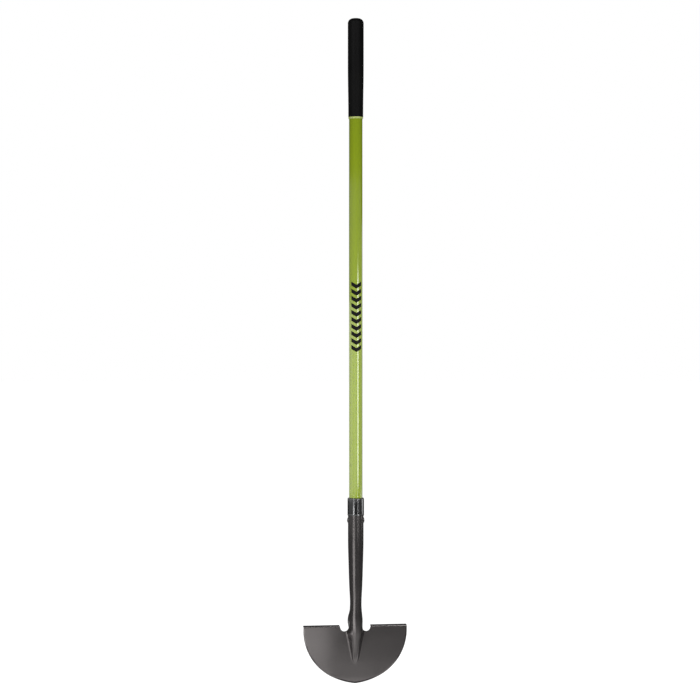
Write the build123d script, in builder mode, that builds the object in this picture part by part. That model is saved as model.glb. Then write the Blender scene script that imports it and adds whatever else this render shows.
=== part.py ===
from build123d import *
from math import asin, atan2, cos, degrees, radians, sin, sqrt, tan
import os

# Half-moon lawn edger, upright, in millimetres. The origin is on the handle's axis at the
# lowest point of the blade. +Z runs up the handle, -Y is the front, where the frog stands out
# of the blade, and +X is to the right for someone who faces the front.

# Blade: one flat half-moon of pressed sheet
SHEET = 2.0
BLADE_FRONT = 6.0
BLADE_BACK = BLADE_FRONT + SHEET
BLADE_TOP = 122.0  # the top of its flat part, below the steps
DEEP = 32.0  # a depth well behind the whole blade
SIDE_RADIUS = 113.5
SIDE_SWEEP = 75.0
TOE_RADIUS = 160.0
TOE_SLOPE = 6.7
TOE_SWEEP = 19.65
TIP_ROUND = 15.0
BEVEL_WIDTH = 3.2
BEVEL_DEPTH = 1.2

# Steps: the blade's two top edges, turned to the back
STEP_TOP = 128.0
STEP_BACK = 18.15
STEP_BEND = 4.0
STEP_INNER = 30.0
STEP_OUTER = 115.2
STEP_ROUND = 0.9

# Notches between the steps and the socket
NOTCH_X = 24.4
NOTCH_Z = 124.0
NOTCH_RADIUS = 9.0
NOTCH_LEAN = 18.0
NOTCH_RISE = 24.0
NOTCH_FLARE = 3.4

# Socket: the same sheet, rolled round the handle and open at the back
SOCKET_RADIUS = 17.15
SOCKET_TOP = 405.0
SOCKET_STRAIGHT = 315.0
SEAM_HALF = 2.5
NECK_RADIUS = 12.7
NECK_Z = 178.0
NECK_LAP = 0.05  # the round part stands this far out of the shaped part below it
SEAM_DEPTH = 13.5  # how far back the sheet's edges lie at the neck
SEAM_END = 166.0

# Frog: the V-shaped ridge that carries the socket down into the blade
FROG_HALF = 20.0
NOSE_CREST = 7.5
FOLD_RADIUS = 3.5
HOLLOW_ROUND = 2.5

# Handle tube, and the core and plug inside it
TUBE_RADIUS = 14.75
TUBE_BORE = 11.25
TUBE_BOTTOM = 296.0
TUBE_TOP = 1459.0
CORE_LENGTH = 112.0
CORE_CHAMFER = 1.5
PLUG_FLANGE = 2.5
PLUG_DEPTH = 24.0
PLUG_WALL = 2.0

# Collar over the top of the socket
COLLAR_BOTTOM = 371.7
COLLAR_TOP = 410.5
COLLAR_WALL = 1.0
COLLAR_GAP = 0.15
COLLAR_RIM = 2.4
COLLAR_BEAD = 2.6
BEAD_RISE = 0.25

# Rivet through socket, tube and core
RIVET_Z = 361.0
RIVET_RADIUS = 3.0
HEAD_RADIUS = 6.2
HEAD_HEIGHT = 1.9
HEAD_EDGE = 0.3
HEAD_SKIRT = 3.0

# Stop ring round the tube, under the grip
RING_RADIUS = 16.2
RING_BOTTOM = 1246.0
RING_ROUND = 1.2

# Grip
GRIP_RADIUS = 17.5
GRIP_BOTTOM = 1250.0
GRIP_MOUTH_RADIUS = 16.4
GRIP_WAIST_RADIUS = 16.75
GRIP_WAIST_Z = 1295.0
GRIP_STRAIGHT = 1360.0
GRIP_LIP = 0.8
KNUCKLE_Z = 1457.0
KNUCKLE_RADIUS = 10.5
CROWN_SLOPE = 8.0

os.makedirs("parts", exist_ok=True)


def save(piece, name):
    piece.part.label = name
    export_step(piece.part, f"parts/{name}.step")


def ring_section(height, radius):
    """The socket rolled nearly shut: a circle that stops at the seam at its back."""
    end = (SEAM_HALF, sqrt(radius**2 - SEAM_HALF**2))
    return (height, -radius, radius, 0, end, 180 - degrees(asin(SEAM_HALF / radius)))


def open_section(height, front, radius, lean, end, turn):
    """The socket opening: a round front, and sides that run to free edges at the back."""
    return (height, front, radius, lean, end, turn)


def frog_section(height, front, half, lean, depth):
    """The ridge: a round crest, and straight sides that lean out past the blade's front.

    half is the ridge's half width at the blade's front, and depth is where its sides end.
    """
    slant = radians(lean)
    radius = (half * cos(slant) - (BLADE_FRONT - front) * sin(slant)) / (1 - sin(slant))
    return nose_section(height, front, radius, lean, depth)


def nose_section(height, front, radius, lean, depth):
    """The ridge again, by its crest's radius."""
    slant = radians(lean)
    reach = (radius * (1 - sin(slant)) + (depth - front) * sin(slant)) / cos(slant)
    return (height, front, radius, lean, (reach, depth), 90 - lean)


# Evenly spaced down past the neck, so that the skin runs smoothly through them
STATIONS = [
    ring_section(NECK_Z + 23, 13.6),
    ring_section(NECK_Z + 11.5, 12.95),
    ring_section(NECK_Z, NECK_RADIUS),
    open_section(166.5, -12.8, 13.1, 0, (7.2, 12.4), 150),
    open_section(155, -13.2, 14.2, 2, (13.0, 12.0), 118),
    open_section(143.5, -13.7, 15.3, 6, (16.6, 10.7), 90),
    frog_section(132, -14.0, 16.4, 12, 10),
    frog_section(120.5, -14.0, 18.2, 21, 10),
    frog_section(109, -12.9, 19.0, 29, 10),
    frog_section(97.5, -10.6, 16.6, 31, 10),
    frog_section(86, -8.0, 14.3, 31, 11),
    frog_section(74.5, -5.3, 12.0, 31, 12),
    frog_section(63, -2.5, 9.7, 31, 13),
    nose_section(51.5, 1.0, NOSE_CREST, 31, 15),
    nose_section(40, 9.5, NOSE_CREST, 31, 21),
]


def draw_section(front, radius, lean, end, turn, inset, back):
    """One section of the socket and frog, in the current BuildLine.

    inset moves the outline in by that much, and back, if given, carries its free ends
    straight back to that depth.
    """
    centre = Vector(0, front + radius)
    out = Vector(cos(radians(lean)), -sin(radians(lean)))
    along = Vector(sin(radians(lean)), cos(radians(lean)))
    finish = Vector(cos(radians(turn)), sin(radians(turn)))
    side = centre + out * (radius - inset)
    last = Vector(*end) - Vector(finish.Y, -finish.X) * inset
    bend = radians(turn + lean - 90)
    pull = (last - side).length / (3 * cos(bend / 4) ** 2)
    flank = Bezier(side, side + along * pull, last - finish * pull, last)
    mirrored = mirror(flank, about=Plane.YZ)
    ThreePointArc(side, (0, front + inset), (-side.X, side.Y))
    if back is None:
        Line(flank @ 1, mirrored @ 1)
    else:
        Polyline(flank @ 1, (last.X, back), (-last.X, back), mirrored @ 1)


def sections(inset, back):
    """The faces that the sheet's outer skin runs through, or its inner skin with an inset."""
    faces = []
    for height, front, radius, lean, end, turn in STATIONS:
        with BuildSketch(Plane.XY.offset(height)) as section:
            with BuildLine():
                draw_section(front, radius, lean, end, turn, inset, back)
            make_face()
        faces.append(section.sketch.face())
    return faces


def half_moon():
    """The blade's outline, x across and y up, from the tip to above the steps."""
    slope = (cos(radians(TOE_SLOPE)), sin(radians(TOE_SLOPE)))
    tip = (0, -TIP_ROUND * (1 / slope[0] - 1))
    with BuildSketch(Plane.XY) as outline:
        with BuildLine():
            toe = JernArc(tip, slope, TOE_RADIUS, TOE_SWEEP)
            side = JernArc(toe @ 1, toe % 1, SIDE_RADIUS, SIDE_SWEEP)
            Polyline(side @ 1, (0, (side @ 1).Y), tip)
        make_face()
        mirror(about=Plane.YZ)
        fillet(outline.vertices().sort_by(Axis.Y)[0], TIP_ROUND)
    return outline.sketch


# Looking along -Y onto the XZ plane: the sketch's x is +X and its y is +Z
FRONT_VIEW = Plane(origin=(0, 0, 0), x_dir=(1, 0, 0), z_dir=(0, -1, 0))


def corner(sketch, x, y):
    """The vertex of a sketch at a place in the sketch's own plane."""
    return sketch.vertices().sort_by_distance((x, y))[0]


def frog_edges(part, depth):
    """The fold between the frog and the blade, on the blade's face at that depth."""
    level = part.edges().filter_by_position(Axis.Y, depth - 0.01, depth + 0.01)
    return level.filter_by(
        lambda edge: abs(edge.center().X) < 1.2 * FROG_HALF and edge.length > 5
        and edge.center().Z > FROG_HALF and edge.center().Z < BLADE_TOP - 1
    )


def socket_tube(inset):
    """Half the round part of the socket, from the handle's axis out to one of its skins."""
    with BuildSketch(Plane.XZ) as tube:
        with BuildLine():
            Spline(
                (NECK_RADIUS + NECK_LAP - inset, NECK_Z),
                (13.85 - inset, 204.6),
                (14.95 - inset, 229),
                (16.1 - inset, 270),
                (SOCKET_RADIUS - inset, SOCKET_STRAIGHT),
                tangents=[(0, 1), (0, 1)],
            )
            Polyline(
                (SOCKET_RADIUS - inset, SOCKET_STRAIGHT),
                (SOCKET_RADIUS - inset, SOCKET_TOP),
                (0, SOCKET_TOP),
                (0, NECK_Z),
                (NECK_RADIUS + NECK_LAP - inset, NECK_Z),
            )
        make_face()
    return tube.sketch


moon = half_moon()
outer_skin = sections(0, None)
inner_skin = sections(SHEET, DEEP)
outer_tube = socket_tube(0)
inner_tube = socket_tube(SHEET)

with BuildPart() as blade_head:
    # The flat blade, with a bevel along the front of its cutting edge
    with BuildSketch(FRONT_VIEW.offset(-BLADE_BACK)):
        add(moon)
    extrude(amount=SHEET - BEVEL_DEPTH)
    with BuildSketch(FRONT_VIEW.offset(-BLADE_FRONT - BEVEL_DEPTH)):
        add(moon)
    extrude(amount=BEVEL_DEPTH, taper=degrees(atan2(BEVEL_WIDTH, BEVEL_DEPTH)))
    split(bisect_by=Plane.XY.offset(BLADE_TOP), keep=Keep.BOTTOM)

    # The frog's outside up to the neck, cut off level with the blade's back
    loft(outer_skin)
    split(bisect_by=Plane.XY.offset(NECK_Z), keep=Keep.BOTTOM)
    with BuildSketch(Plane.YZ.offset(-DEEP)):
        with BuildLine():
            Polyline(
                (BLADE_BACK, 0),
                (BLADE_BACK, STEP_TOP),
                (SEAM_DEPTH, NECK_Z),
                (DEEP, NECK_Z),
                (DEEP, 0),
                close=True,
            )
        make_face()
    extrude(amount=2 * DEEP, mode=Mode.SUBTRACT)
    fillet(frog_edges(blade_head, BLADE_FRONT), FOLD_RADIUS)

    # The turned steps
    for side in (-1, 1):
        with BuildSketch(Plane.YZ.offset(side * STEP_INNER)) as step:
            with BuildLine():
                Polyline(
                    (BLADE_FRONT, BLADE_TOP),
                    (BLADE_FRONT, STEP_TOP),
                    (STEP_BACK, STEP_TOP),
                    (STEP_BACK, STEP_TOP - SHEET),
                    (BLADE_BACK, STEP_TOP - SHEET),
                    (BLADE_BACK, BLADE_TOP),
                    close=True,
                )
            make_face()
            fillet(corner(step, BLADE_FRONT, STEP_TOP), STEP_BEND)
            fillet(corner(step, BLADE_BACK, STEP_TOP - SHEET), STEP_BEND - SHEET)
            fillet(corner(step, STEP_BACK, STEP_TOP), STEP_ROUND)
            fillet(corner(step, STEP_BACK, STEP_TOP - SHEET), STEP_ROUND)
        extrude(amount=side * (STEP_OUTER - STEP_INNER))

    # Steps and blade cut back to the half-moon's outline, clear of the socket
    with BuildSketch(FRONT_VIEW.offset(-DEEP)):
        Rectangle(4 * STEP_OUTER, 4 * STEP_TOP)
        add(moon, mode=Mode.SUBTRACT)
        Rectangle(4 * STEP_INNER, 4 * NECK_Z, mode=Mode.SUBTRACT)
    extrude(amount=2 * DEEP, mode=Mode.SUBTRACT)

    # The hollow behind the frog
    loft(inner_skin, mode=Mode.SUBTRACT)

    # The notches that part the steps from the socket
    with BuildSketch(FRONT_VIEW.offset(-DEEP)):
        lean = radians(NOTCH_LEAN)
        reach = NOTCH_X + NOTCH_RADIUS * cos(lean)
        low = NOTCH_Z - NOTCH_RADIUS * sin(lean)
        high = NOTCH_Z + NOTCH_RISE
        with Locations((NOTCH_X, NOTCH_Z)):
            Circle(NOTCH_RADIUS)
        with BuildLine():
            Polyline(
                (NOTCH_X - NOTCH_RADIUS, NOTCH_Z),
                (NOTCH_X - NOTCH_RADIUS + NOTCH_FLARE, high),
                (reach + (high - low) * tan(lean), high),
                (reach, low),
                (NOTCH_X, low),
                close=True,
            )
        make_face()
        mirror(about=Plane.YZ)
    extrude(amount=2 * DEEP, mode=Mode.SUBTRACT)
    fillet(frog_edges(blade_head, BLADE_BACK), HOLLOW_ROUND)

    # The rolled socket, its bore and the seam at its back
    revolve(outer_tube, axis=Axis.Z)
    revolve(inner_tube, axis=Axis.Z, mode=Mode.SUBTRACT)
    with BuildSketch(Plane.XY.offset(SOCKET_TOP)):
        Rectangle(2 * SEAM_HALF, DEEP, align=(Align.CENTER, Align.MIN))
    extrude(amount=SEAM_END - SOCKET_TOP, mode=Mode.SUBTRACT)

    # The rivet's holes
    with Locations((0, 0, RIVET_Z)):
        Cylinder(RIVET_RADIUS, 4 * SOCKET_RADIUS, rotation=(0, 90, 0), mode=Mode.SUBTRACT)

save(blade_head, "blade_head")

with BuildPart() as handle_tube:
    with BuildSketch(Plane.XY.offset(TUBE_BOTTOM)):
        Circle(TUBE_RADIUS)
        Circle(TUBE_BORE, mode=Mode.SUBTRACT)
    extrude(amount=TUBE_TOP - TUBE_BOTTOM)
    with Locations((0, 0, RIVET_Z)):
        Cylinder(RIVET_RADIUS, 4 * TUBE_RADIUS, rotation=(0, 90, 0), mode=Mode.SUBTRACT)

save(handle_tube, "handle_tube")

with BuildPart() as core_plug:
    with BuildSketch(Plane.XY.offset(TUBE_BOTTOM)):
        Circle(TUBE_BORE)
    extrude(amount=CORE_LENGTH)
    chamfer(core_plug.edges().filter_by(GeomType.CIRCLE), CORE_CHAMFER)
    with Locations((0, 0, RIVET_Z)):
        Cylinder(RIVET_RADIUS, 4 * TUBE_BORE, rotation=(0, 90, 0), mode=Mode.SUBTRACT)

save(core_plug, "core_plug")

with BuildPart() as end_plug:
    with BuildSketch(Plane.XY.offset(TUBE_TOP)):
        Circle(TUBE_RADIUS)
    extrude(amount=PLUG_FLANGE)
    with BuildSketch(Plane.XY.offset(TUBE_TOP - PLUG_DEPTH)):
        Circle(TUBE_BORE)
    extrude(amount=PLUG_DEPTH)
    chamfer(end_plug.edges().filter_by(GeomType.CIRCLE).sort_by(Axis.Z)[0], PLUG_WALL / 2)
    with BuildSketch(Plane.XY.offset(TUBE_TOP - PLUG_DEPTH)):
        Circle(TUBE_BORE - PLUG_WALL)
    extrude(amount=PLUG_DEPTH - PLUG_WALL, mode=Mode.SUBTRACT)

save(end_plug, "end_plug")

with BuildPart() as collar:
    outer = SOCKET_RADIUS + COLLAR_WALL
    bore = TUBE_RADIUS + COLLAR_GAP
    with BuildSketch(Plane.XZ) as wall:
        with BuildLine():
            Polyline(
                (outer, COLLAR_BOTTOM),
                (SOCKET_RADIUS, COLLAR_BOTTOM),
                (SOCKET_RADIUS, COLLAR_TOP - COLLAR_WALL),
                (bore, COLLAR_TOP - COLLAR_WALL),
                (bore, COLLAR_TOP),
                (outer, COLLAR_TOP),
                (outer, COLLAR_BOTTOM + COLLAR_BEAD),
            )
            ThreePointArc(
                (outer, COLLAR_BOTTOM + COLLAR_BEAD),
                (outer + BEAD_RISE, COLLAR_BOTTOM + COLLAR_BEAD / 2),
                (outer, COLLAR_BOTTOM),
            )
        make_face()
        fillet(corner(wall, outer, COLLAR_TOP), COLLAR_RIM)
        fillet(corner(wall, SOCKET_RADIUS, COLLAR_TOP - COLLAR_WALL), COLLAR_RIM - COLLAR_WALL)
    revolve(axis=Axis.Z)

save(collar, "collar")

with BuildPart() as socket_rivet:
    skirt = SOCKET_RADIUS - HEAD_SKIRT
    crown = SOCKET_RADIUS + HEAD_HEIGHT
    with BuildSketch(Plane.XZ):
        with BuildLine():
            Polyline(
                (crown, RIVET_Z),
                (skirt, RIVET_Z),
                (skirt, RIVET_Z + HEAD_RADIUS),
                (SOCKET_RADIUS + HEAD_EDGE, RIVET_Z + HEAD_RADIUS),
            )
            Bezier(
                (SOCKET_RADIUS + HEAD_EDGE, RIVET_Z + HEAD_RADIUS),
                (crown - HEAD_EDGE, RIVET_Z + 0.8 * HEAD_RADIUS),
                (crown, RIVET_Z + 0.4 * HEAD_RADIUS),
                (crown, RIVET_Z),
            )
        make_face()
    revolve(axis=Axis((0, 0, RIVET_Z), (1, 0, 0)))
    mirror(about=Plane.YZ)
    with BuildSketch(Plane.XY.offset(RIVET_Z - DEEP)):
        Circle(SOCKET_RADIUS)
    extrude(amount=2 * DEEP, mode=Mode.SUBTRACT)
    with Locations((0, 0, RIVET_Z)):
        Cylinder(RIVET_RADIUS, 2 * SOCKET_RADIUS, rotation=(0, 90, 0))

save(socket_rivet, "socket_rivet")

with BuildPart() as stop_ring:
    with BuildSketch(Plane.XZ) as ring:
        with BuildLine():
            Polyline(
                (TUBE_RADIUS, RING_BOTTOM),
                (RING_RADIUS, RING_BOTTOM),
                (RING_RADIUS, GRIP_BOTTOM),
                (TUBE_RADIUS, GRIP_BOTTOM),
                close=True,
            )
        make_face()
        fillet(corner(ring, RING_RADIUS, RING_BOTTOM), RING_ROUND)
    revolve(axis=Axis.Z)

save(stop_ring, "stop_ring")

with BuildPart() as grip:
    bore_end = TUBE_TOP + PLUG_FLANGE
    with BuildSketch(Plane.XZ) as half:
        with BuildLine():
            Polyline(
                (GRIP_RADIUS, GRIP_STRAIGHT),
                (GRIP_RADIUS, KNUCKLE_Z),
            )
            knuckle = JernArc((GRIP_RADIUS, KNUCKLE_Z), (0, 1), KNUCKLE_RADIUS, 90 - CROWN_SLOPE)
            crown_radius = (knuckle @ 1).X / sin(radians(CROWN_SLOPE))
            crown = JernArc(knuckle @ 1, knuckle % 1, crown_radius, CROWN_SLOPE)
            Polyline(
                crown @ 1,
                (0, bore_end),
                (TUBE_RADIUS, bore_end),
                (TUBE_RADIUS, GRIP_BOTTOM),
                (GRIP_MOUTH_RADIUS, GRIP_BOTTOM),
            )
            Spline(
                (GRIP_MOUTH_RADIUS, GRIP_BOTTOM),
                (GRIP_WAIST_RADIUS, GRIP_WAIST_Z),
                (GRIP_RADIUS, GRIP_STRAIGHT),
                tangents=[(0, 1), (0, 1)],
            )
        make_face()
        fillet(corner(half, GRIP_MOUTH_RADIUS, GRIP_BOTTOM), GRIP_LIP)
    revolve(axis=Axis.Z)

save(grip, "grip")
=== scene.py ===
from math import atan2, cos, degrees, hypot, pi, radians, sin

import bmesh
import bpy
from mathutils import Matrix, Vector


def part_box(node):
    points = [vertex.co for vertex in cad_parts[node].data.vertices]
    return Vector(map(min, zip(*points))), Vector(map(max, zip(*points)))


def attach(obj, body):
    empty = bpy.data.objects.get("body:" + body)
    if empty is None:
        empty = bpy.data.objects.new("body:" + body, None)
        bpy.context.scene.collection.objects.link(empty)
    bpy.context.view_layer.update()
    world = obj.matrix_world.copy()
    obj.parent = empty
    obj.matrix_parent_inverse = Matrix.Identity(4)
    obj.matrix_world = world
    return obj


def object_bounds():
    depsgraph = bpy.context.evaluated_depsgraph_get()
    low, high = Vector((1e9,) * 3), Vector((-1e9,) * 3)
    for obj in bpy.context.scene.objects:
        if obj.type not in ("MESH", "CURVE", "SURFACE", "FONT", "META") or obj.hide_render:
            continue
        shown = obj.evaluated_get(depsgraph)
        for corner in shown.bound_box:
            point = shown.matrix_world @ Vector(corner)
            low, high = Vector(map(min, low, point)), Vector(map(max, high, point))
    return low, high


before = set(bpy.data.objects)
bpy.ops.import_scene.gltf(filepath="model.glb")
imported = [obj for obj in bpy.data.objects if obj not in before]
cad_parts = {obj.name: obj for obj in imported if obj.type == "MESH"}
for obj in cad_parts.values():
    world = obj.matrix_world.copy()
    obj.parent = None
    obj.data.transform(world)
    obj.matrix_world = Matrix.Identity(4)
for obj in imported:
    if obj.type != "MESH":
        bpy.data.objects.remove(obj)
cad_low, cad_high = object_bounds()

# A half-moon lawn edger. Metres, +Z up the handle, -Y the front, the origin at the blade's tip.
MIDDLE = 0.5 * cad_high.z
SHAFT_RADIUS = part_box("handle_tube")[1].x

# ---------------------------------------------------------------- node helpers


class Nodes:
    """Builds one material's node tree: each call adds a node and returns its main output."""

    def __init__(self, name):
        self.material = bpy.data.materials.new(name)
        self.material.use_nodes = True
        self.tree = self.material.node_tree
        self.shader = self.tree.nodes["Principled BSDF"]

    def add(self, kind, inputs=None, output=0, **settings):
        node = self.tree.nodes.new(kind)
        for key, value in settings.items():
            setattr(node, key, value)
        for key, value in (inputs or {}).items():
            self.feed(node.inputs[key], value)
        return node.outputs[output]

    def feed(self, socket, value):
        """Links an output to the socket, or gives it a plain value."""
        if isinstance(value, bpy.types.NodeSocket):
            self.tree.links.new(value, socket)
        else:
            socket.default_value = value

    def set(self, **inputs):
        """Feeds the surface shader's inputs, with _ for each space in their names."""
        for key, value in inputs.items():
            self.feed(self.shader.inputs[key.replace("_", " ")], value)

    def point(self, stretch):
        """Object coordinates in metres, each multiplied by its part of stretch."""
        place = self.add("ShaderNodeTexCoord", output="Object")
        return self.add("ShaderNodeMapping", {"Vector": place, "Scale": stretch})

    def noise(self, scale, detail, roughness=0.55, stretch=(1, 1, 1)):
        """Noise with about scale blotches to the metre."""
        return self.add(
            "ShaderNodeTexNoise",
            {
                "Vector": self.point(stretch),
                "Scale": scale,
                "Detail": detail,
                "Roughness": roughness,
            },
            output="Fac",
        )

    def ramp(self, value, low, high, to_low=0.0, to_high=1.0):
        """value from low..high to to_low..to_high, smoothly and held at both ends."""
        return self.add(
            "ShaderNodeMapRange",
            {
                "Value": value,
                "From Min": low,
                "From Max": high,
                "To Min": to_low,
                "To Max": to_high,
            },
            output="Result",
            interpolation_type="SMOOTHSTEP",
        )

    def mix(self, factor, a, b):
        """Colour a where factor is 0, and colour b where it is 1."""
        node = self.tree.nodes.new("ShaderNodeMix")
        node.data_type = "RGBA"
        sockets = {socket.identifier: socket for socket in [*node.inputs, *node.outputs]}
        self.feed(sockets["Factor_Float"], factor)
        self.feed(sockets["A_Color"], a)
        self.feed(sockets["B_Color"], b)
        return sockets["Result_Color"]

    def bump(self, height, distance, strength, normal=None):
        """A relief of that height map, distance metres deep, on top of another relief if given."""
        inputs = {"Height": height, "Distance": distance, "Strength": strength}
        if normal is not None:
            inputs["Normal"] = normal
        return self.add("ShaderNodeBump", inputs, output="Normal")


def rgb(red, green, blue):
    return (red, green, blue, 1.0)


# ---------------------------------------------------------------- materials


def head_paint():
    """Dark grey lacquer over pressed steel, with orange peel and faint scuffs."""
    m = Nodes("dark_lacquer")
    dark = rgb(0.0742, 0.0684, 0.0677)
    light = rgb(0.0834, 0.0770, 0.0762)
    scuff = rgb(0.108, 0.101, 0.100)
    cloud = m.noise(14.0, detail=4.0)
    speck = m.noise(900.0, detail=2.0)
    tone = m.mix(m.ramp(cloud, 0.3, 0.7), dark, light)
    peel = m.noise(420.0, detail=2.0, roughness=0.5)
    wave = m.noise(24.0, detail=2.0, roughness=0.4)
    skin = m.bump(wave, distance=0.0003, strength=0.15)
    m.set(
        Base_Color=m.mix(m.ramp(speck, 0.62, 0.75, to_high=0.35), tone, scuff),
        Metallic=0.8,
        Roughness=m.ramp(cloud, 0.25, 0.75, to_low=0.18, to_high=0.23),
        Normal=m.bump(peel, distance=0.00006, strength=0.35, normal=skin),
    )
    return m.material


def collar_metal():
    """Smoked nickel plate with fine turned lines round it."""
    m = Nodes("smoked_nickel")
    dark = rgb(0.094, 0.095, 0.096)
    light = rgb(0.108, 0.109, 0.110)
    lines = m.noise(260.0, detail=3.0, roughness=0.6, stretch=(1, 1, 14))
    smudge = m.noise(60.0, detail=3.0)
    m.set(
        Base_Color=m.mix(m.ramp(smudge, 0.3, 0.7), dark, light),
        Metallic=1.0,
        Roughness=m.ramp(smudge, 0.3, 0.75, to_low=0.10, to_high=0.13),
        Normal=m.bump(lines, distance=0.00001, strength=0.12),
    )
    return m.material


def handle_gelcoat():
    """Lime green gelcoat: a clear gloss over faint lengthwise fibres."""
    m = Nodes("lime_gelcoat")
    dark = rgb(0.206, 0.278, 0.0068)
    light = rgb(0.220, 0.296, 0.0080)
    strand = rgb(0.180, 0.246, 0.006)
    fibre = m.noise(700.0, detail=2.0, roughness=0.5, stretch=(1, 1, 0.012))
    cloud = m.noise(9.0, detail=3.0, roughness=0.5, stretch=(1, 1, 0.35))
    green = m.mix(m.ramp(cloud, 0.3, 0.7), dark, light)
    wave = m.noise(60.0, detail=1.0, roughness=0.4, stretch=(1, 1, 0.06))
    skin = m.bump(fibre, distance=0.00001, strength=0.04)
    m.set(
        Base_Color=m.mix(m.ramp(fibre, 0.45, 0.75, to_high=0.025), green, strand),
        Roughness=m.ramp(cloud, 0.25, 0.75, to_low=0.10, to_high=0.14),
        IOR=1.6,
        Specular_IOR_Level=0.7,
        Normal=m.bump(wave, distance=0.00005, strength=0.15, normal=skin),
    )
    return m.material


def grip_rubber():
    """Satin black rubber with a fine moulded skin."""
    m = Nodes("black_rubber")
    dark = rgb(0.0036, 0.0036, 0.0037)
    light = rgb(0.0052, 0.0051, 0.0050)
    pore = m.noise(1500.0, detail=2.0, roughness=0.5)
    cloud = m.noise(30.0, detail=3.0)
    m.set(
        Base_Color=m.mix(m.ramp(cloud, 0.3, 0.7), dark, light),
        Roughness=m.ramp(cloud, 0.25, 0.75, to_low=0.48, to_high=0.58),
        Specular_IOR_Level=0.07,
        Normal=m.bump(pore, distance=0.00004, strength=0.4),
    )
    return m.material


def ring_plastic():
    """Pale lime plastic, a little cloudy."""
    m = Nodes("pale_lime_plastic")
    dark = rgb(0.39, 0.46, 0.14)
    light = rgb(0.43, 0.50, 0.17)
    cloud = m.noise(160.0, detail=3.0)
    m.set(
        Base_Color=m.mix(m.ramp(cloud, 0.3, 0.7), dark, light),
        Roughness=m.ramp(cloud, 0.3, 0.7, to_low=0.22, to_high=0.32),
        Normal=m.bump(cloud, distance=0.00003, strength=0.3),
    )
    return m.material


def plug_plastic():
    """Black moulded plastic with a fine spark texture."""
    m = Nodes("plug_plastic")
    dark = rgb(0.016, 0.016, 0.017)
    light = rgb(0.024, 0.024, 0.025)
    grain = m.noise(1100.0, detail=2.0)
    m.set(
        Base_Color=m.mix(m.ramp(grain, 0.3, 0.7), dark, light),
        Roughness=m.ramp(grain, 0.3, 0.7, to_low=0.5, to_high=0.62),
        Normal=m.bump(grain, distance=0.00005, strength=0.4),
    )
    return m.material


def core_wood():
    """Turned hardwood, its grain along the handle."""
    m = Nodes("turned_wood")
    light = rgb(0.50, 0.33, 0.18)
    dark = rgb(0.30, 0.17, 0.08)
    pore = rgb(0.16, 0.09, 0.045)
    grain = m.noise(240.0, detail=5.0, roughness=0.6, stretch=(1, 1, 0.06))
    pores = m.noise(1400.0, detail=2.0, roughness=0.5, stretch=(1, 1, 0.03))
    wood = m.mix(m.ramp(grain, 0.35, 0.68), light, dark)
    m.set(
        Base_Color=m.mix(m.ramp(pores, 0.6, 0.72, to_high=0.6), wood, pore),
        Roughness=m.ramp(grain, 0.3, 0.7, to_low=0.55, to_high=0.7),
        Normal=m.bump(pores, distance=0.0001, strength=0.4),
    )
    return m.material


def black_ink():
    """Screen-printed ink, very slightly mottled."""
    m = Nodes("printed_ink")
    dark = rgb(0.0012, 0.0012, 0.0012)
    light = rgb(0.0040, 0.0040, 0.0038)
    mottle = m.noise(1800.0, detail=2.0)
    m.set(
        Base_Color=m.mix(m.ramp(mottle, 0.35, 0.7), dark, light),
        Roughness=m.ramp(mottle, 0.3, 0.7, to_low=0.5, to_high=0.65),
        Specular_IOR_Level=0.12,
        Normal=m.bump(mottle, distance=0.00001, strength=0.3),
    )
    return m.material


FINISHES = {
    "blade_head": head_paint(),
    "collar": collar_metal(),
    "socket_rivet": head_paint(),
    "handle_tube": handle_gelcoat(),
    "core_plug": core_wood(),
    "end_plug": plug_plastic(),
    "stop_ring": ring_plastic(),
    "grip": grip_rubber(),
}
for name, finish in FINISHES.items():
    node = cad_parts[name]
    for slot in node.material_slots:
        slot.material = finish

# ---------------------------------------------------------------- print on the shaft

MARK_BOTTOM = 0.732
MARK_TOP = 0.887
MARK_COUNT = 10
MARK_TURN = -2.0  # degrees round from the front
MARK_HALF_WIDTH = 0.0122  # round the shaft
MARK_DROP = 0.0068  # how far the point hangs below the arms
MARK_STROKE = 0.0088  # how thick the arms are, along the shaft
MARK_STEPS = 12  # flat steps in one arm, round the shaft
INK_HEIGHT = 0.00006  # how far the ink stands out of the shaft
INK_THICKNESS = 0.00012  # half of it is sunk into the shaft


def chevron_row(name):
    """Chevrons that point down the shaft, as thin raised ink that follows its round front."""
    mesh = bmesh.new()
    outer = SHAFT_RADIUS + INK_HEIGHT
    pitch = (MARK_TOP - MARK_BOTTOM) / MARK_COUNT
    for index in range(MARK_COUNT):
        tip = MARK_BOTTOM + index * pitch
        sections = []
        for step in range(-MARK_STEPS, MARK_STEPS + 1):
            across = step / MARK_STEPS
            angle = radians(MARK_TURN) + across * MARK_HALF_WIDTH / SHAFT_RADIUS
            low = tip + abs(across) * MARK_DROP
            corners = []  # outer low, outer high, inner low, inner high
            for radius in (outer, outer - INK_THICKNESS):
                for height in (low, low + MARK_STROKE):
                    place = (radius * sin(angle), -radius * cos(angle), height)
                    corners.append(mesh.verts.new(place))
            sections.append(corners)
        for left, right in zip(sections, sections[1:]):
            for a, b in ((0, 1), (1, 3), (3, 2), (2, 0)):
                mesh.faces.new((left[a], right[a], right[b], left[b]))
        for end in (sections[0], sections[-1]):
            mesh.faces.new((end[0], end[1], end[3], end[2]))
    bmesh.ops.recalc_face_normals(mesh, faces=mesh.faces)
    data = bpy.data.meshes.new(name)
    mesh.to_mesh(data)
    mesh.free()
    piece = bpy.data.objects.new(name, data)
    bpy.context.scene.collection.objects.link(piece)
    data.materials.append(black_ink())
    return piece


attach(chevron_row("shaft_chevrons"), "root")

# ---------------------------------------------------------------- floor and world

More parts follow.
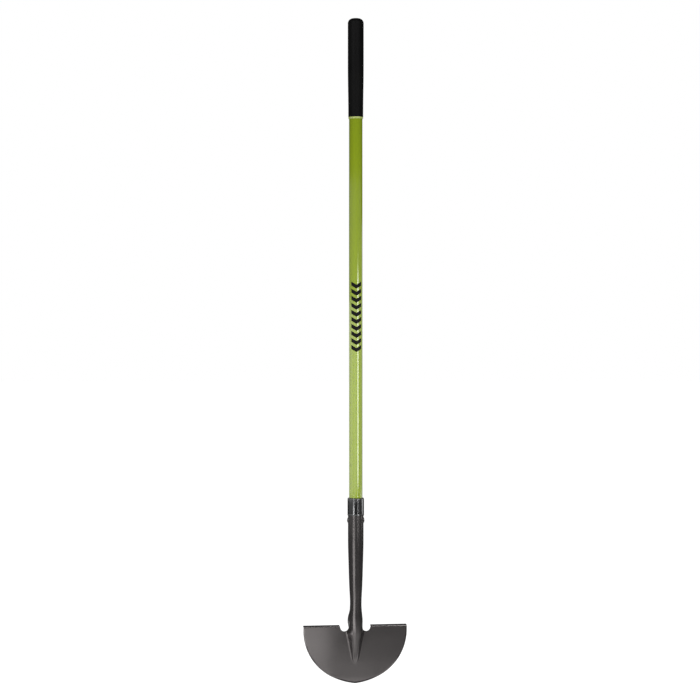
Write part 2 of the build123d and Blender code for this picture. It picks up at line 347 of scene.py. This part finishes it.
FLOOR_RADIUS = 40.0
FLOOR_SIDES = 96
FLOOR_GAP = 0.0002  # how far the floor lies below the blade's tip
WORLD_SEEN = 1.0
WORLD_FILL = 0.08


def make_floor():
    """A round floor that glows white for the camera, and is plain grey to all other light."""
    mesh = bmesh.new()
    bmesh.ops.create_circle(mesh, cap_ends=True, radius=FLOOR_RADIUS, segments=FLOOR_SIDES)
    data = bpy.data.meshes.new("floor")
    mesh.to_mesh(data)
    mesh.free()
    floor = bpy.data.objects.new("floor", data)
    floor.location.z = cad_low.z - FLOOR_GAP
    bpy.context.scene.collection.objects.link(floor)
    m = Nodes("floor_white")
    cloud = m.noise(1.3, detail=2.0)
    m.set(
        Base_Color=m.mix(cloud, rgb(0.34, 0.34, 0.34), rgb(0.36, 0.36, 0.36)),
        Roughness=0.9,
        Emission_Color=rgb(1, 1, 1),
        Emission_Strength=m.add("ShaderNodeLightPath", output="Is Camera Ray"),
    )
    data.materials.append(m.material)
    return floor


def make_world():
    """White where the camera sees it, and a dim even fill for everything else."""
    world = bpy.data.worlds.new("studio")
    bpy.context.scene.world = world
    world.use_nodes = True
    tree = world.node_tree
    background = tree.nodes["Background"]
    background.inputs["Color"].default_value = rgb(1, 1, 1)
    seen = tree.nodes.new("ShaderNodeLightPath")
    strength = tree.nodes.new("ShaderNodeMapRange")
    strength.inputs["To Min"].default_value = WORLD_FILL
    strength.inputs["To Max"].default_value = WORLD_SEEN
    tree.links.new(seen.outputs["Is Camera Ray"], strength.inputs["Value"])
    tree.links.new(strength.outputs["Result"], background.inputs["Strength"])


make_floor()
make_world()

# ---------------------------------------------------------------- camera and lights

VIEW_AZIMUTH = -8.0
VIEW_DISTANCE = 4.17  # from the handle's axis
VIEW_RISE = 0.0024  # how far above the object's middle the camera stands
VIEW_SHIFT = -0.0127  # how far left of the handle's axis the view's centre passes
FOCAL_TO_WIDTH = 2.7  # the focal length in widths of the sensor
SENSOR = 36.0  # millimetres
FLOOR_LIGHT_HEIGHT = 0.002
ABOVE = 1.0  # a height for the lights on the floor to face

# Name, azimuth, distance, height, width, tall, radiance. Azimuths are in degrees from the
# camera's own, positive to the right. Each light faces the handle's axis at its own height.
LEVEL_LIGHTS = [
    ("rim_left", -128, 0.65, 0.611, 0.39, 0.50, 1.5),
    ("panel_left", -75, 0.65, 0.611, 0.715, 0.50, 1.75),
    ("panel_front", -13.5, 0.65, 0.611, 0.735, 0.50, 1.65),
    ("strip_right", 37.2, 1.0, 0.6575, 0.416, 0.585, 6.8),
    ("panel_right", 59, 0.65, 0.611, 0.206, 0.50, 0.5),
    ("side_right", 89, 0.65, 0.611, 0.50, 0.50, 0.75),
    ("rim_right", 126, 0.65, 0.71, 0.39, 0.70, 0.8),
    ("upper_left", -80, 0.65, 1.017, 0.99, 0.31, 0.44),
    ("upper_front", -13.5, 0.65, 1.017, 0.735, 0.31, 0.42),
    ("upper_right", 62, 0.65, 1.017, 1.09, 0.31, 0.34),
    ("near_left", -29, 0.9, 0.12, 0.50, 0.24, 3.0),
    ("near_upper", -29, 0.9, 0.29, 0.50, 0.10, 1.2),
    ("collar_left", -83, 0.9, 0.30, 1.38, 0.10, 0.35),
    ("collar_right", 45, 0.9, 0.30, 1.12, 0.10, 0.2),
    ("crown_left", -36, 0.65, 1.70, 0.45, 0.35, 2.0),
    ("crown_right", 30, 0.65, 1.70, 0.30, 0.35, 1.5),
    ("low_right", 104, 0.9, 0.325, 0.28, 0.06, 3.8),
    ("glint_left", -28, 0.9, 0.305, 0.16, 0.012, 20.0),
    ("glint_right", 29, 0.9, 0.297, 0.14, 0.012, 6.0),
    ("glint_top", 29, 0.9, 0.339, 0.16, 0.010, 12.0),
]

# The same, but each light faces the middle of the object
HIGH_LIGHTS = [
    ("top_front", 12, 2.6, 2.60, 2.4, 0.8, 1.1),
    ("key_left", -36, 2.2, 2.30, 0.35, 0.35, 31.0),
    ("key_right", 25, 2.2, 2.30, 0.35, 0.35, 21.0),
]

# Name, across, out, height, width, tall, radiance. Across is to the right of the handle's
# axis, and out is in front of it. Each light faces straight back.
LOW_LIGHTS = [
    ("low_left", -0.19, 0.30, 0.06, 0.34, 0.12, 1.8),
    ("low_front", 0.04, 0.32, 0.05, 0.90, 0.10, 0.25),
]

# Name, across, out, width, deep, radiance. Each light lies on the floor and faces up.
FLOOR_LIGHTS = [
    ("tip_near", -0.02, 0.027, 0.36, 0.050, 1.4),
    ("tip_left", -0.1175, 0.182, 0.165, 0.20, 1.5),
    ("tip_middle", 0.013, 0.110, 0.094, 0.116, 0.75),
    ("tip_far", 0.013, 0.225, 0.094, 0.114, 0.8),
    ("tip_right", 0.155, 0.182, 0.19, 0.20, 0.6),
    ("fold_left", -0.29, 0.14, 0.09, 0.28, 4.5),
    ("behind", 0.0, -0.415, 1.0, 0.80, 1.0),
]


def around(azimuth, distance, height):
    """A place round the object: azimuth 0 is straight in front, and 90 is to the right."""
    a = radians(azimuth)
    return Vector((distance * sin(a), -distance * cos(a), height))


def polar(across, out):
    """The azimuth and distance, as around takes them, of a place across and out."""
    return degrees(atan2(across, out)), hypot(across, out)


def softbox(name, azimuth, distance, height, width, tall, radiance, aim):
    """A rectangular soft light that faces aim, by the brightness of its face."""
    light = bpy.data.lights.new(name, "AREA")
    light.shape = "RECTANGLE"
    light.size = width
    light.size_y = tall
    light.energy = radiance * pi * width * tall
    lamp = bpy.data.objects.new(name, light)
    lamp.location = around(azimuth, distance, height)
    lamp.rotation_mode = "QUATERNION"
    lamp.rotation_quaternion = (Vector(aim) - lamp.location).to_track_quat("-Z", "Y")
    lamp.visible_camera = False
    bpy.context.scene.collection.objects.link(lamp)


def make_lights():
    """Every light in the tables above."""
    for name, across, out, width, deep, radiance in FLOOR_LIGHTS:
        azimuth, distance = polar(across, out)
        above = (across, -out, ABOVE)
        softbox(name, azimuth, distance, FLOOR_LIGHT_HEIGHT, width, deep, radiance, above)
    for name, azimuth, distance, height, width, tall, radiance in LEVEL_LIGHTS:
        turned = azimuth + VIEW_AZIMUTH
        softbox(name, turned, distance, height, width, tall, radiance, (0, 0, height))
    for name, azimuth, distance, height, width, tall, radiance in HIGH_LIGHTS:
        turned = azimuth + VIEW_AZIMUTH
        softbox(name, turned, distance, height, width, tall, radiance, (0, 0, MIDDLE))
    for name, across, out, height, width, tall, radiance in LOW_LIGHTS:
        azimuth, distance = polar(across, out)
        softbox(name, azimuth, distance, height, width, tall, radiance, (across, 0, height))


def make_camera():
    """Level with the object's middle, and far enough off to keep its perspective mild."""
    data = bpy.data.cameras.new("camera")
    data.sensor_width = SENSOR
    data.lens = FOCAL_TO_WIDTH * SENSOR
    camera = bpy.data.objects.new("camera", data)
    a = radians(VIEW_AZIMUTH)
    across = Vector((cos(a), sin(a), 0))
    centre = around(VIEW_AZIMUTH, VIEW_DISTANCE, MIDDLE + VIEW_RISE)
    camera.location = centre + across * VIEW_SHIFT
    camera.rotation_euler = (pi / 2, 0, a)
    bpy.context.scene.collection.objects.link(camera)
    bpy.context.scene.camera = camera


make_lights()
make_camera()
bpy.context.scene.view_settings.view_transform = "Standard"
